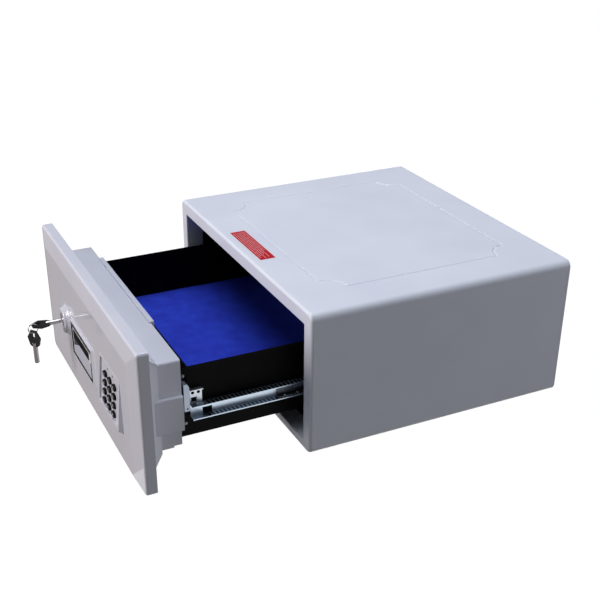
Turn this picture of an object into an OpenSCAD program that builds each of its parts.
// Drawer safe for a hotel room: steel cabinet, drawer on ball bearing slides, keypad fascia.
// Origin at the middle of the cabinet's underside, front towards -Y, +Z up, millimetres.

/* [Cabinet] */
// Cabinet width
cab_w = 500; // [480:5:560]
// Cabinet depth
cab_d = 432; // [432:4:520]
// Cabinet height
cab_h = 222; // [222:1:240]
// Radius of the long edges
edge_r = 11; // [8:1:14]
// Thickness of the cabinet sheet
sheet = 2; // [1.5:0.5:3]
// Width of the front frame at the sides and the top
frame_w = 22; // [18:1:22]
// Depth of the trim ring in front of the seam
ring_d = 14; // [10:1:18]
// Depth of the white return inside the opening
return_d = 28; // [24:1:32]
// Pressed panel outline: inset from the sides
panel_inset = 65; // [50:5:80]
// Pressed panel outline: radius of its hollow corners
panel_corner = 31.5; // [20:0.5:40]

/* [Drawer] */
// How far the drawer stands open
drawer_open = 225; // [200:5:235]
// Half of the tray's width
tray_x = 196; // [180:1:196]
// Top of the tray's walls
tray_top = 155; // [140:1:160]
// Tray length
tray_len = 340; // [320:5:345]
// Top of the tray's floor
floor_z = 79.5; // [76:0.5:84]
// Felt mat thickness
mat_t = 3; // [2:0.5:5]

/* [Fascia] */
// Fascia width
fas_w = 492; // [480:1:500]
// Fascia height
fas_h = 216.5; // [210:0.5:217]
// Depth of the fascia's side strip
fas_d = 17; // [14:1:20]
// Height of the raised field above the side strip
field_up = 4.8; // [3:0.2:6]

/* [Keypad] */
// Spacing of the button columns
col_pitch = 21.2; // [19:0.1:22]
// Spacing of the button rows
row_pitch = 13.8; // [13:0.1:16]
// Button width
btn_w = 13.5; // [12:0.5:16]
// Button height
btn_h = 9; // [8:0.5:11]

/* [Slides] */
// Height of the drawer rail
rail_h = 21; // [19:1:23]
// Ball diameter
ball_d = 4; // [3.5:0.5:4]

/* [Hidden] */
BUTTONS = ["1", "2", "3", "4", "5", "6", "7", "8", "9", "clear", "0", "enter"];
$fn = 48;
EPS = 0.01;

white = [0.86, 0.87, 0.90];
black = [0.06, 0.06, 0.07];
zinc = [0.72, 0.76, 0.80];
steel = [0.55, 0.57, 0.60];

// Cabinet planes
front_y = -cab_d / 2;
back_y = cab_d / 2;
open_x = cab_w / 2 - frame_w;
open_z0 = 15;
open_z1 = cab_h - frame_w;
liner_x = open_x - 4;
liner_t = 1.2;
groove = 1.2;

// Drawer planes, in the drawer's own frame: y = 0 is the back of the fascia
drawer_y = front_y - drawer_open - 0.4;
fas_z0 = 0.5;
fas_z1 = fas_z0 + fas_h;
fas_x = fas_w / 2;
field_x = fas_x - 33;
field_z0 = 13;
field_z1 = fas_z1 - 27;
field_y = -fas_d - field_up;
shoulder_d = 20.4;
shoulder_x = open_x - 2.5;
block_x = 212;
block_y1 = 52;
block_top = 178;
ledge_z = 125;
ledge_x = 218;
ledge_y0 = 10;
block_z0 = 71;
skin = 3;
tray_y = 65.5;
tray_t = 1.2;
skirt_z = 47.5;
ear_y = 54.2;
tray_screw_pts = [[61.4, 68], [60, 142.5]];
rail_x = 197;
rail_w = 12;
rail_z = 77.5;
rail_y = 68;
rail_len = 340;
rail_t = 1.5;
cab_rail_x = 212.5;
bracket_x = cab_rail_x + rail_t;
cab_rail_y = front_y + 72;
cab_rail_len = 340;
screw_ys = [22, 120, 220, 318];
cage_y = front_y - 28;
cage_len = 208;
cage_x = 199.4;
ball_x = 205;
ball_ys = [for (i = [0:9]) 10 + i * 20];
ball_zs = [rail_z + rail_t + ball_d / 2, rail_z + rail_h - rail_t - ball_d / 2];
inner_z0 = ball_zs[0] + ball_d / 2;
inner_z1 = ball_zs[1] - ball_d / 2;
bolt_y = 54.6;
bolt_t = 2.5;
bolt_end_t = 8;
bolt_tip = 213;
bolt_z0 = 97;
bolt_z1 = 139;
tooth_m = 1;
pinion_teeth = 20;
pinion_x = 0;
pinion_z = 118;
pitch_r = tooth_m * pinion_teeth / 2;
lock_x = -103;
lock_z = 110;
boss_out = 8.5;
core_y = field_y - boss_out + 0.8;
core_tail = 34;
key_r = 3.7;
key_in = 8;
key_out = 20;
bow_l = 28;
bow_w = 23;
bow_t = 4;
bar_r = 1.8;
bar_y = core_y - key_out - bow_l + bar_r;
ring_r = 7.5;
wire_r = 0.8;
ring_z = lock_z - (ring_r - wire_r - bar_r - 0.3);
spare_z = ring_z - ring_r + wire_r + 0.3 + bar_r;
spare_turn = 38;
disp = [-71, 67.5, 42.5, 126];
hood_out = 3.2;
pad = [80, 66, 176, 144];
pad_rise = 7;
pad_tilt = atan(pad_rise / (pad[3] - pad[1]));
pad_sink = 2.6;
pad_flare = 2.2;
key_col0 = 106.5;
key_row0 = 120.6;
light_xs = [114.5, 137];
light_v = -12.5;
fascia_screw_pts = [for (x = [-232, 232], z = [fas_z0 + 12, fas_z0 + fas_h / 2, fas_z1 - 12]) [x, z]];

module drawer_frame() translate([0, drawer_y, 0]) children();
module both_sides() { children(); mirror([1, 0, 0]) children(); }
module plate_xz(x0, z0, x1, z1, y0, y1) translate([x0, y0, z0]) cube([x1 - x0, y1 - y0, z1 - z0]);
// Rod of radius r along +X, +Y from a start point
module rod_x(r, l) rotate([0, 90, 0]) cylinder(r = r, h = l);
module rod_y(r, l) rotate([-90, 0, 0]) cylinder(r = r, h = l);

// Rounded rectangle in XZ, as a prism along Y
module round_xz(x0, z0, x1, z1, r, y0, y1)
    translate([0, y1, 0]) rotate([90, 0, 0]) linear_extrude(y1 - y0) union() {
        translate([x0 + r, z0]) square([x1 - x0 - 2 * r, z1 - z0]);
        translate([x0, z0 + r]) square([x1 - x0, z1 - z0 - 2 * r]);
        for (x = [x0 + r, x1 - r], z = [z0 + r, z1 - r]) translate([x, z]) circle(r);
    }

// ---- Cabinet ----

// Outline of the pressed panel: a rectangle with hollow quarter round corners
module panel_outline(grow) difference() {
    px = cab_w / 2 - panel_inset + grow;
    translate([-px, front_y + 58 - grow]) square([2 * px, cab_d - 114 + 2 * grow]);
    for (x = [-1, 1], y = [front_y + 58 - grow, back_y - 56 + grow])
        translate([x * px, y]) circle(panel_corner);
}

// The wrap's section as a prism, longer by over at both ends
module wrap_section(inset, r, over) {
    w = cab_w / 2 - inset;
    round_xz(-w, inset, w, cab_h - inset, r, front_y + ring_d + 0.6 - over, back_y - 4 + over);
}

module cabinet_shell() color(white) difference() {
    wrap_section(0, edge_r, 0);
    wrap_section(sheet, edge_r - sheet, 1);
    translate([0, 0, cab_h - groove]) linear_extrude(groove + 1) difference() {
        panel_outline(1.4);
        panel_outline(-1.4);
    }
    for (x = [-150, 150], y = [-120, 120]) translate([x, y, -1]) cylinder(r = 5.5, h = 6);
}

module front_frame() color(white) {
    difference() {
        round_xz(-cab_w / 2, 0, cab_w / 2, cab_h, edge_r, front_y, front_y + ring_d);
        plate_xz(-open_x, open_z0, open_x, open_z1, front_y - 1, front_y + ring_d + 1);
        round_xz(-cab_w / 2 + sheet, sheet, cab_w / 2 - sheet, cab_h - sheet, edge_r - sheet,
            front_y + sheet, front_y + ring_d + 1);
    }
    difference() {
        plate_xz(-open_x - sheet, open_z0 - sheet, open_x + sheet, open_z1 + sheet,
            front_y + 0.5, front_y + return_d);
        plate_xz(-open_x, open_z0, open_x, open_z1, front_y - 1, front_y + return_d + 1);
    }
}

module back_panel() color(white) difference() {
    union() {
        round_xz(-cab_w / 2, 0, cab_w / 2, cab_h, edge_r, back_y - 3.8, back_y);
        difference() {
            round_xz(-cab_w / 2 + 2.3, 2.3, cab_w / 2 - 2.3, cab_h - 2.3, 8, back_y - 14, back_y - 3);
            round_xz(-cab_w / 2 + 4, 4, cab_w / 2 - 4, cab_h - 4, 6, back_y - 15, back_y - 3.9);
        }
    }
    for (x = [-100, 100], z = [60, 160]) translate([x, back_y - 6, z]) rod_y(5.5, 8);
    translate([200, back_y - 6, 30]) rod_y(7, 8);
}

module inner_liner() color(black) difference() {
    plate_xz(-liner_x - liner_t, open_z0 - liner_t, liner_x + liner_t, open_z1 + liner_t,
        front_y + return_d + 0.3, back_y - 18);
    plate_xz(-liner_x, open_z0, liner_x, open_z1, front_y, back_y - 18 - liner_t);
    strike_slots();
    for (x = [-150, 150], y = [-120, 120]) translate([x, y, 0]) cylinder(r = 8, h = open_z0 + 2);
    for (x = [-100, 100], z = [60, 160]) translate([x, back_y - 25, z]) rod_y(8, 12);
}

// Windows that the bolts enter when the drawer is closed
module strike_slots() both_sides()
    translate([liner_x - 2, front_y + bolt_y - 1, bolt_z0 - 2]) cube([10, 9.5, bolt_z1 - bolt_z0 + 4]);

module strike_plates() color(zinc) both_sides() difference() {
    translate([liner_x + liner_t, front_y + 36, bolt_z0 - 14]) cube([3, 46, bolt_z1 - bolt_z0 + 28]);
    strike_slots();
    for (y = [42, 76], z = [bolt_z0 - 8, bolt_z1 + 8])
        translate([liner_x, front_y + y, z]) rod_x(2.2, 6);
}

// Folded channel that holds a cabinet rail off the liner
module slide_brackets() color(zinc) both_sides() difference() {
    translate([bracket_x, cab_rail_y, rail_z - 14]) cube([liner_x - bracket_x, cab_rail_len, rail_h + 28]);
    translate([bracket_x + rail_t, cab_rail_y - 1, rail_z - 12.5])
        cube([liner_x, cab_rail_len + 2, rail_h + 25]);
    for (y = screw_ys) translate([cab_rail_x, cab_rail_y + y, rail_z + rail_h / 2]) rod_x(2, 5);
}

// Cabinet rail: two flanges run inside the drawer rail's channel, a taller web is screwed on
module cabinet_rail() difference() {
    union() {
        translate([cab_rail_x, cab_rail_y, rail_z - 2]) cube([rail_t, cab_rail_len, rail_h + 4]);
        translate([cab_rail_x - 12, cab_rail_y, inner_z0])
            cube([12 + EPS, cab_rail_len, inner_z1 - inner_z0]);
    }
    translate([cab_rail_x - 13, cab_rail_y - 1, inner_z0 + rail_t])
        cube([13, cab_rail_len + 2, inner_z1 - inner_z0 - 2 * rail_t]);
    for (y = screw_ys) translate([cab_rail_x - 1, cab_rail_y + y, rail_z + rail_h / 2]) rod_x(2, 5);
}

module slide_rail_right() color(zinc) cabinet_rail();
module slide_rail_left() color(zinc) mirror([1, 0, 0]) cabinet_rail();

module slide_screws() color(steel) both_sides() for (y = screw_ys)
    translate([cab_rail_x - 1.2, cab_rail_y + y, rail_z + rail_h / 2]) {
        rod_x(3.3, 1.2);
        rod_x(1.95, 6);
    }

module warning_label() color([0.82, 0.12, 0.16])
    translate([-68, front_y + 15.2, cab_h]) cube([118.5, 24.3, 0.25]);

// ---- Ball cages: run half as far as the drawer ----

module cage() difference() {
    union() {
        translate([cage_x, cage_y, ball_zs[0] - 0.4]) cube([0.8, cage_len, ball_zs[1] - ball_zs[0] + 0.8]);
        for (z = ball_zs) translate([cage_x, cage_y, z - 0.4]) cube([8.4, cage_len, 0.8]);
    }
    for (y = ball_ys, z = ball_zs) translate([ball_x, cage_y + y, z - 1]) cylinder(r = ball_d / 2 + 0.1, h = 2);
    for (y = [40, 104, 168]) translate([cage_x - 1, cage_y + y - 14, rail_z + 7]) cube([3, 28, rail_h - 14]);
}

module balls() for (y = ball_ys, z = ball_zs)
    translate([ball_x, cage_y + y, z]) sphere(d = ball_d - 0.1, $fn = 24);

module ball_cage_right() color(steel) cage();
module ball_cage_left() color(steel) mirror([1, 0, 0]) cage();
module slide_balls_right() color(zinc) balls();
module slide_balls_left() color(zinc) mirror([1, 0, 0]) balls();

// ---- Drawer ----

// Box of the tray's plan, inset from its sides and ends
module tray_box(in_x, in_y, z0, z1)
    plate_xz(-tray_x + in_x, z0, tray_x - in_x, z1, tray_y + in_y, tray_y + tray_len - in_y);

// Floor between walls that reach down past it, their top edges hemmed inwards;
// the side walls run forward to the housing, with a window for the bolt
module tray() color(black) drawer_frame() {
    difference() {
        tray_box(0, 0, skirt_z, tray_top);
        tray_box(tray_t, tray_t, floor_z, tray_top + 1);
        tray_box(tray_t, -1, skirt_z - 1, floor_z - tray_t);
    }
    difference() {
        tray_box(tray_t, tray_t, tray_top - 9, tray_top);
        tray_box(2 * tray_t, 2 * tray_t, tray_top - 10, tray_top + 1);
    }
    both_sides() difference() {
        translate([tray_x - tray_t, ear_y, skirt_z])
            cube([tray_t, tray_y - ear_y + tray_t, tray_top - skirt_z]);
        translate([tray_x - 5, ear_y - 1, bolt_z0 - 2])
            cube([10, tray_y - ear_y + 0.8, bolt_z1 - bolt_z0 + 4]);
        for (p = tray_screw_pts) translate([tray_x - 3, p[0], p[1]]) rod_x(1.6, 4);
    }
}

module tray_screws() color(steel) drawer_frame() both_sides() for (p = tray_screw_pts)
    translate([tray_x, p[0], p[1]]) {
        rod_x(2.6, 1.3);
        translate([-4, 0, 0]) rod_x(1.5, 4.2);
    }

module felt_mat() color([0.08, 0.12, 0.62]) drawer_frame()
    translate([-tray_x + tray_t + 0.8, tray_y + tray_t + 0.8, floor_z])
        cube([2 * (tray_x - tray_t - 0.8), tray_len - 2 * tray_t - 1.6, mat_t]);

// Channel with its open side outwards, a stop window near its front end
module drawer_rail() drawer_frame() difference() {
    translate([rail_x, rail_y, rail_z]) cube([rail_w, rail_len, rail_h]);
    translate([rail_x + rail_t, rail_y - 1, rail_z + rail_t]) cube([rail_w, rail_len + 2, rail_h - 2 * rail_t]);
    translate([rail_x - 1, rail_y + 17.5, rail_z + rail_t]) cube([4, 14, 10]);
    for (y = [180, 310]) translate([rail_x - 1, rail_y + y, rail_z + rail_h / 2]) rod_x(2.2, 4);
}

module drawer_rail_right() color(zinc) drawer_rail();
module drawer_rail_left() color(zinc) mirror([1, 0, 0]) drawer_rail();

// Zinc plate above a rail's front end, with two holes and a notch
module rail_brackets() color(zinc) drawer_frame() both_sides() difference() {
    union() {
        translate([tray_x, 68, rail_z + rail_h]) cube([1.5, 18, 23]);
        translate([tray_x, 68, rail_z + rail_h + 21.5]) cube([7, 18, 1.5]);
        translate([tray_x, 76, rail_z + rail_h]) cube([7, 10, 1.2]);
    }
    for (y = [72.5, 81]) translate([tray_x - 1, y, rail_z + rail_h + 16]) rod_x(2.4, 5);
    translate([tray_x - 1, 70, rail_z + rail_h + 2]) cube([4, 8, 7]);
}

// Sloped shoulder, block with a ledge, inset lower part; open towards the fascia
module housing() color(white) drawer_frame() difference() {
    union() {
        plate_xz(-fas_x + 3.7, fas_z0 + 3.7, fas_x - 3.7, fas_z1 - 3.7, -2.5, 0);
        hull() {
            plate_xz(-shoulder_x, 17.5, shoulder_x, open_z1 - 2.5, -0.5, 0);
            plate_xz(-block_x, 39, block_x, block_top, shoulder_d - 0.5, shoulder_d);
        }
        round_xz(-block_x, ledge_z - 20, block_x, block_top, 3, shoulder_d - 1, block_y1);
        round_xz(-ledge_x, block_z0, ledge_x, ledge_z, 2, ledge_y0, block_y1);
        round_xz(-212, 46, 212, 100, 2, shoulder_d - 1, block_y1 - 2.6);
        round_xz(-207, 40, 207, 60, 2, shoulder_d - 1, block_y1 - 12.6);
        plate_xz(-155, block_top - 12, 95, block_top + 2.5, block_y1 - 2.5, block_y1 + 4.5);
    }
    hull() {
        plate_xz(-shoulder_x + 6, 24, shoulder_x - 6, open_z1 - 9, -2.6, -2.5);
        plate_xz(-block_x + 3.2, 74, block_x - 3.2, block_top - 3, shoulder_d, shoulder_d + 0.1);
    }
    plate_xz(-block_x + skin, 74, block_x - skin, block_top - skin, shoulder_d - 0.5, block_y1 - skin);
    plate_xz(-204, 49, 204, 80, shoulder_d - 0.5, block_y1 - 5.6);
    translate([pinion_x, block_y1 - skin - 1, pinion_z]) rod_y(4, 6);
    for (p = fascia_screw_pts) translate([p[0], -3, p[1]]) {
        rod_y(1.6, 4);
        translate([0, 1.5, 0]) rod_y(2.8, 3);
    }
}

// Plate behind the housing: it carries the bolts and closes the front of the tray
module mechanism_plate() color(steel) drawer_frame() difference() {
    plate_xz(-204, 80, 204, 172, block_y1 + 0.1, block_y1 + 1.7);
    translate([pinion_x, block_y1 - 1, pinion_z]) rod_y(3.2, 5);
    plate_xz(-156, 165, 96, 173, block_y1, block_y1 + 3);
}

// Slab with a softened front edge, rising by a shallow bevel to the raised field
module fascia_blank() {
    x = fas_x;
    soft = 2.5;
    round_xz(-x, fas_z0, x, fas_z1, 4, -fas_d + soft, 0);
    hull() {
        round_xz(-x, fas_z0, x, fas_z1, 4, -fas_d + soft, -fas_d + soft + 1, $fn = 32);
        round_xz(-x + soft, fas_z0 + soft, x - soft, fas_z1 - soft, 3, -fas_d, -fas_d + 1, $fn = 32);
        plate_xz(-field_x, field_z0, field_x, field_z1, field_y, field_y + 0.1);
    }
}

module fascia() color(white) drawer_frame() difference() {
    fascia_blank();
    plate_xz(-fas_x + 3.2, fas_z0 + 3.2, fas_x - 3.2, fas_z1 - 3.2, -fas_d + 3.2, 1);
    plate_xz(-field_x + 5, field_z0 + 5, field_x - 5, field_z1 - 5, field_y + 3, 1);
    plate_xz(disp[0] + 4.9, disp[1] + 4.9, disp[2] - 4.9, disp[3] - 8.9, field_y - 1, 0);
    plate_xz(pad[0] + 4, pad[1] + 4, pad[2] - 4, pad[3] - 4, field_y - 1, 0);
    translate([lock_x, field_y - 1, lock_z]) rod_y(9.6, 20);
}

// Frame around the display, its right cheek flaring towards the bottom
module display_hood() color(white) drawer_frame() difference() {
    hull() {
        round_xz(disp[0], disp[1], disp[2], disp[3], 3, field_y - hood_out, field_y - hood_out + 0.5);
        translate([0, field_y, 0]) rotate([90, 0, 0]) linear_extrude(0.5) polygon([
            [disp[0] - 4, disp[1] - 1.5], [disp[2] + 10.5, disp[1] - 1.5],
            [disp[2] + 1.5, disp[3] + 2], [disp[0] - 3, disp[3] + 3]]);
    }
    plate_xz(disp[0] + 2, disp[1] + 2, disp[2] - 2, disp[3] - 1.6, field_y - hood_out - 1, field_y + 3);
}

// Black frame around the window, deepest along the top
module display_bezel() color(black) drawer_frame() difference() {
    plate_xz(disp[0] + 2.3, disp[1] + 2.3, disp[2] - 2.3, disp[3] - 1.9,
        field_y - hood_out + 0.6, field_y - 0.1);
    plate_xz(disp[0] + 3.9, disp[1] + 3.9, disp[2] - 3.9, disp[3] - 8, field_y - 5, field_y + 1);
}

module display_lens() color([0.85, 0.88, 0.92, 0.4]) drawer_frame()
    plate_xz(disp[0] + 4, disp[1] + 4, disp[2] - 4, disp[3] - 8.1, field_y - 1.4, field_y - 0.4);

module display_module() color([0.75, 0.78, 0.84]) drawer_frame() {
    plate_xz(disp[0] + 5.2, disp[1] + 5.2, disp[2] - 5.2, disp[3] - 9.2, field_y + 0.6, field_y + 6);
    plate_xz(disp[0] + 3, disp[1] + 4, disp[2] - 3, disp[3] - 8, field_y + 6, field_y + 7.6);
}

// Frame whose Z axis stands on the tilted keypad face; x and the row height measured in it
module pad_face() translate([0, field_y, pad[3]]) rotate([90 - pad_tilt, 0, 0]) children();

// Wedge flush with the field at its top edge, proud at its bottom edge, its right wall flaring to
// the field; a shallow pocket holds the buttons
module keypad_wedge() color(white) drawer_frame() difference() {
    h = pad[3] - pad[1];
    union() {
        intersection() {
            translate([pad[0] - 1, 0, 0]) rotate([90, 0, 90]) linear_extrude(pad[2] - pad[0] + pad_flare + 1) polygon([
                [field_y, pad[3]], [field_y - pad_rise, pad[1] + 1.5], [field_y - pad_rise + 1.5, pad[1]],
                [field_y, pad[1] - 4]]);
            translate([0, 0, pad[1] - 5]) linear_extrude(pad[3] - pad[1] + 6) polygon([
                [pad[0] - 1, field_y + 0.1], [pad[2] + pad_flare, field_y + 0.1],
                [pad[2], field_y - pad_rise - 0.1], [pad[0], field_y - pad_rise - 0.1]]);
        }
        plate_xz(pad[0] + 4.2, pad[1] + 4.2, pad[2] - 4.2, pad[3] - 4.2, field_y - 0.1, field_y + 5);
    }
    pad_face() translate([pad[0] + 5, -h + 5, -pad_sink]) cube([pad[2] - pad[0] - 10, h - 9, 20]);
    for (i = [0:11]) button_place(i) translate([0, 0, -12]) oval(0.3, 20);
    for (x = light_xs) pad_face() translate([x, light_v, -15]) cylinder(r = 1.6, h = 20);
}

// Rounded slot outline of a button, grown by g
module oval(g, h) {
    r = btn_h / 2 + g;
    a = (btn_w - btn_h) / 2;
    linear_extrude(h) union() {
        for (x = [-a, a]) translate([x, 0]) circle(r);
        translate([-a, -r]) square([2 * a, 2 * r]);
    }
}

module button_place(i) pad_face()
    translate([key_col0 + (i % 3) * col_pitch, -(pad[3] - key_row0) - floor(i / 3) * row_pitch, 0])
    children();

module push_button(i) color(black) drawer_frame() button_place(i) {
    translate([0, 0, -pad_sink - 1.2]) oval(0, pad_sink + 1);
    translate([0, 0, -0.2]) intersection() {
        oval(-0.6, 3);
        translate([0, 0, -15.2]) rotate([0, 90, 0]) translate([0, 0, -10]) cylinder(r = 16, h = 20);
    }
}

module keypad_board() color([0.05, 0.3, 0.15]) drawer_frame()
    plate_xz(pad[0] + 5, pad[1] + 5, pad[2] - 5, pad[3] - 5, field_y + 6, field_y + 7.6);

module status_lights() color([0.2, 0.5, 0.25]) drawer_frame() for (x = light_xs)
    pad_face() translate([x, light_v, -5.5]) cylinder(r = 1.5, h = 5.5 - pad_sink);

// Turned boss with a rounded rim around the lock
module lock_boss() color(white) drawer_frame() translate([lock_x, field_y, lock_z])
    rotate([90, 0, 0]) rotate_extrude($fn = 64) difference() {
        union() {
            polygon([[9.2, 0], [25, 0], [25, 0.8], [20, boss_out - 2.2], [17, boss_out], [9.2, boss_out]]);
            translate([17.2, boss_out - 3]) circle(3);
        }
        translate([9.1, boss_out - 2.2]) square([2.4, 4]);
    }

module lock_body() color(steel) drawer_frame() translate([lock_x, field_y - boss_out + 1, lock_z])
    rotate([-90, 0, 0]) difference() {
        union() {
            cylinder(r = 9, h = 26);
            cylinder(r = 11, h = 1.1);
        }
        translate([0, 0, -1]) cylinder(r = 7.05, h = 40);
    }

module lock_nut() color(steel) drawer_frame() translate([lock_x, field_y + 3.2, lock_z])
    rotate([-90, 0, 0]) difference() {
        cylinder(r = 13, h = 3, $fn = 6);
        translate([0, 0, -1]) cylinder(r = 9.02, h = 5);
    }

module main_board() color([0.05, 0.3, 0.15]) drawer_frame() {
    plate_xz(40, 84, 190, 165, 40, 41.6);
    plate_xz(60, 100, 84, 124, 38, 40);
    plate_xz(110, 130, 140, 142, 34, 40);
    for (x = [150, 165, 180]) translate([x, 30, 105]) rod_y(4, 10);
}

module battery_holder() color(black) drawer_frame() difference() {
    plate_xz(-196, 84, -132, 146, 24, 42);
    plate_xz(-194, 86, -134, 144, 23, 40);
}

module batteries() color([0.75, 0.6, 0.3]) drawer_frame() for (i = [0:3])
    translate([-190.5, 32, 93.3 + i * 14.4]) rotate([0, 90, 0]) {
        cylinder(r = 7.1, h = 50);
        cylinder(r = 2.7, h = 51.5);
    }

// Motor with its gear head, the output shaft reaching the pinion
module gear_motor() color(steel) drawer_frame() translate([pinion_x, 0, pinion_z]) {
    translate([0, 10, 0]) rod_y(9, 18);
    difference() {
        translate([-14, 28, -11]) cube([28, 21, 22]);
        translate([0, 43.5, 0]) rod_y(3.05, 6);
    }
}

module fascia_screws() color(steel) drawer_frame() for (p = fascia_screw_pts)
    translate([p[0], 0, p[1]]) {
        translate([0, -3.4, 0]) rod_y(1.55, 3);
        translate([0, -1.5, 0]) rod_y(2.7, 1.3);
    }

// ---- Locking bolts ----

// One tooth of a bar: a trapezium standing on its base line
module bar_tooth() polygon([[-1.05, -0.1], [-0.42, 1.9 * tooth_m], [0.42, 1.9 * tooth_m], [1.05, -0.1]]);

// Bar with teeth towards the pinion and a wide end that locks into the cabinet; it points to +X
module bolt_bar() difference() {
    bar_z = pitch_r + 1.15 * tooth_m;
    union() {
        translate([-30, bolt_y, bar_z]) cube([bolt_tip - 7, bolt_t, 7]);
        translate([0, bolt_y + bolt_t, bar_z]) mirror([0, 0, 1]) rotate([90, 0, 0]) linear_extrude(bolt_t)
            for (i = [-9:9]) translate([(i + 0.5) * PI * tooth_m, 0]) bar_tooth();
        translate([176, bolt_y, bolt_z0 - pinion_z]) cube([bolt_tip - 176, bolt_t, bolt_z1 - bolt_z0]);
        translate([bolt_tip - 11, bolt_y, bolt_z0 - pinion_z]) rotate([90, 0, 90])
            linear_extrude(11) polygon([[0, 0], [bolt_end_t, 0], [bolt_end_t, 37], [5, 42], [0, 42]]);
    }
    translate([bolt_tip - 12, bolt_y + 4.5, bolt_z0 - pinion_z + 4]) rod_x(1.2, 14);
}

module bolt_right() color(zinc) drawer_frame() translate([pinion_x, 0, pinion_z]) bolt_bar();
// The left bolt is the same stamping turned half round about the pinion
module bolt_left() color(zinc) drawer_frame() translate([pinion_x, 0, pinion_z])
    rotate([0, 180, 0]) bolt_bar();

module bolt_pinion() color(steel) drawer_frame() translate([pinion_x, 0, pinion_z]) {
    translate([0, bolt_y - 0.6, 0]) rotate([-90, 0, 0]) linear_extrude(bolt_t + 1.2) union() {
        circle(r = pitch_r - 1.3 * tooth_m);
        for (i = [0:pinion_teeth - 1]) rotate(i * 360 / pinion_teeth)
            polygon([[-0.95, 8.2], [-0.58, pitch_r], [-0.2, 10.8], [0.2, 10.8], [0.58, pitch_r], [0.95, 8.2]]);
    }
    translate([0, 44, 0]) rod_y(3, 11);
}

// ---- Override lock and its keys ----

module lock_core() color(steel) drawer_frame() translate([lock_x, core_y, lock_z])
    rotate([-90, 0, 0]) difference() {
        union() {
            cylinder(r = 7, h = 27);
            cylinder(r = 3, h = core_tail);
        }
        difference() {
            translate([0, 0, -1]) cylinder(r = key_r + 0.2, h = key_in + 1.5);
            cylinder(r = key_r - 1, h = key_in + 3);
        }
    }

module lock_cam() color(zinc) drawer_frame() translate([lock_x, core_y + 28.5, lock_z])
    rotate([-90, 0, 0]) difference() {
        union() {
            cylinder(r = 6.5, h = 2);
            linear_extrude(2) {
                translate([-4, -20]) square([8, 20]);
                translate([0, -20]) circle(4);
            }
        }
        translate([0, 0, -1]) cylinder(r = 3.01, h = 4);
    }

// Key along -Z with the centre of its bow's end bar at the origin
module key_tube() translate([0, 0, -bow_l - key_out - key_in + bar_r]) difference() {
    cylinder(r = key_r, h = key_out + key_in + 6);
    translate([0, 0, -1]) cylinder(r = key_r - 0.8, h = 14);
}

module key_head() difference() {
    union() {
        difference() {
            translate([0, bow_t / 2, 0]) rotate([90, 0, 0]) linear_extrude(bow_t) hull() {
                translate([-5, bar_r - 2]) square([10, 0.1]);
                for (x = [-1, 1]) {
                    translate([x * (bow_w / 2 - 2), -11]) circle(2, $fn = 24);
                    translate([x * 6, -22]) circle(2.5, $fn = 24);
                }
                translate([-5, bar_r - bow_l]) square([10, 0.1]);
            }
            translate([-3, -5, -11]) cube([6, 10, 16]);
        }
        translate([-5.5, 0, 0]) rod_x(bar_r, 11);
    }
    translate([0, 0, -bow_l - 2]) cylinder(r = key_r + 0.02, h = 8 + bar_r);
}

module in_lock() drawer_frame() translate([lock_x, bar_y, lock_z]) rotate([90, 0, 0]) children();
module on_ring() drawer_frame() translate([lock_x, bar_y, spare_z]) rotate(spare_turn) children();

module key_barrel() color(zinc) in_lock() key_tube();
module key_bow() color(black) in_lock() key_head();
module key_ring() color(zinc) drawer_frame() translate([lock_x, bar_y, ring_z])
    rotate([0, 90, 0]) rotate_extrude($fn = 64) translate([ring_r, 0]) circle(wire_r, $fn = 16);
module spare_key_barrel() color(zinc) on_ring() key_tube();
module spare_key_bow() color(black) on_ring() key_head();

cabinet_shell();
front_frame();
back_panel();
inner_liner();
strike_plates();
slide_brackets();
slide_rail_left();
slide_rail_right();
slide_screws();
warning_label();
ball_cage_left();
ball_cage_right();
slide_balls_left();
slide_balls_right();
tray();
tray_screws();
felt_mat();
drawer_rail_left();
drawer_rail_right();
rail_brackets();
housing();
mechanism_plate();
fascia();
display_hood();
display_bezel();
display_lens();
display_module();
keypad_wedge();
keypad_board();
status_lights();
lock_boss();
lock_body();
lock_nut();
main_board();
battery_holder();
batteries();
gear_motor();
fascia_screws();
bolt_left();
bolt_right();
bolt_pinion();
lock_core();
lock_cam();
key_barrel();
key_bow();
key_ring();
spare_key_barrel();
spare_key_bow();
for (i = [0:11]) push_button(i);
